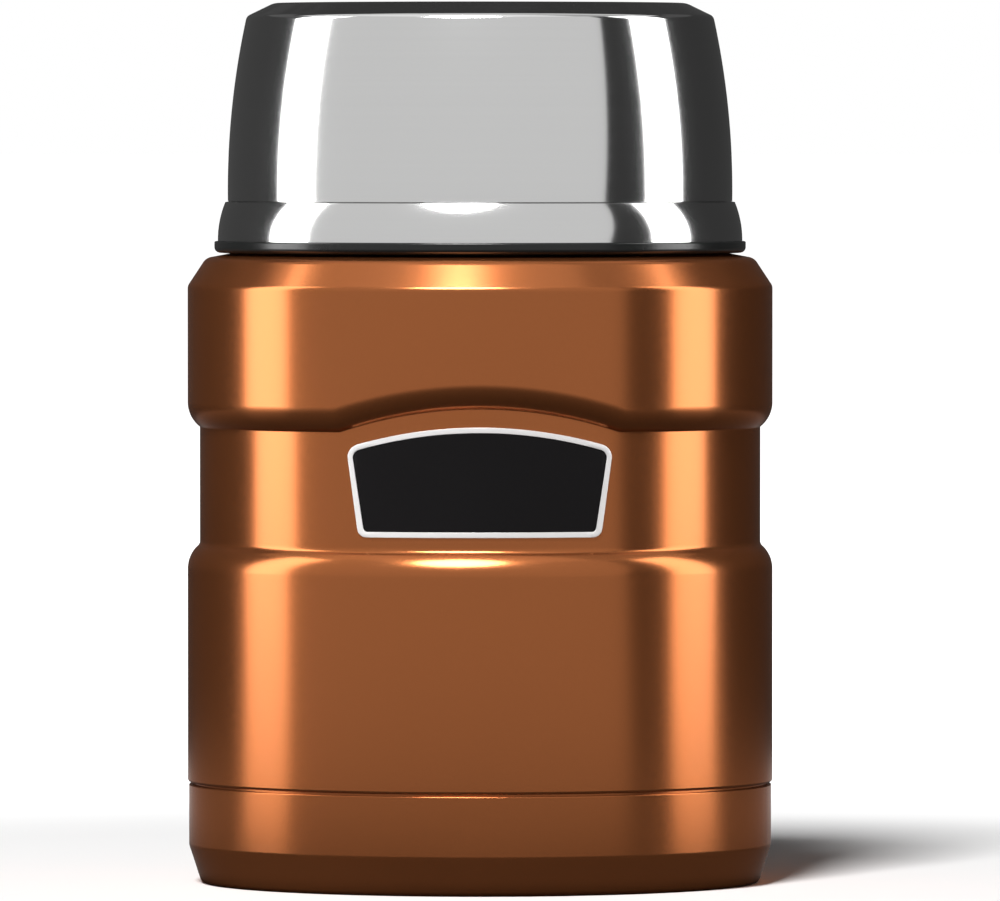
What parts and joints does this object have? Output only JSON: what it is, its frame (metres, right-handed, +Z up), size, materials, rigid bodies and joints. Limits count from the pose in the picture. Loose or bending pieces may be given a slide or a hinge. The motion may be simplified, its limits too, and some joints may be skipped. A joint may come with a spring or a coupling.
{
  "type": "insulated food jar",
  "caption": "Double-walled steel food jar with a waist, an arched bead over a bare badge, a screw stopper and a screw-on steel cup lid.",
  "frame": {"origin": "centre of the circle on which the foot ring stands, on the table", "axes": "+Z up along the jar's axis, the badge faces -Y"},
  "size_m": [0.094, 0.094, 0.1413],
  "materials": {
    "copper_finish": "satin",
    "raw_steel": "satin",
    "solder": "matte",
    "copper_foil": "satin",
    "getter_metal": "matte",
    "adhesive": "matte",
    "badge_border": "satin",
    "badge_black": "satin",
    "dark_plastic": "satin",
    "white_foam": "matte",
    "silicone": "satin",
    "polished_steel": "polished",
    "ring_plastic": "satin"
  },
  "bodies": {
    "jar": {"outer_shell": "copper_finish", "outer_bottom": "raw_steel", "base_cup": "copper_finish", "vacuum_seal_plug": "solder", "inner_vessel": "raw_steel", "radiation_foil": "copper_foil", "getter_clip": "raw_steel", "getter_pellet": "getter_metal", "badge_tape": "adhesive", "badge_plate": "badge_border", "badge_field": "badge_black"},
    "seal_ring": {"stopper_seal": "silicone"},
    "stopper": {"stopper_cap": "dark_plastic", "stopper_plug": "dark_plastic", "stopper_foam": "white_foam"},
    "lid_collar": {"lid_ring": "ring_plastic"},
    "lid": {"lid_shell": "polished_steel", "lid_inner_bowl": "dark_plastic"}
  },
  "joints": [
    {"name": "stopper_rise", "type": "slide", "parent": "jar", "child": "seal_ring", "axis": [0, 0, 1], "range_m": [0, 0.0241]},
    {"name": "stopper_turn", "type": "hinge", "parent": "seal_ring", "child": "stopper", "pos_m": [0, 0, 0.1], "axis": [0, 0, 1], "range_deg": [0, 720]},
    {"name": "lid_rise", "type": "slide", "parent": "stopper", "child": "lid_collar", "axis": [0, 0, 1], "range_m": [0, 0.0241]},
    {"name": "lid_turn", "type": "hinge", "parent": "lid_collar", "child": "lid", "pos_m": [0, 0, 0.12], "axis": [0, 0, 1], "range_deg": [0, 720]}
  ],
  "couplings": [
    {"joint": "stopper_rise", "follows": "stopper_turn", "m_per_rad": 0.0019099},
    {"joint": "lid_rise", "follows": "lid_turn", "m_per_rad": 0.0019099}
  ]
}
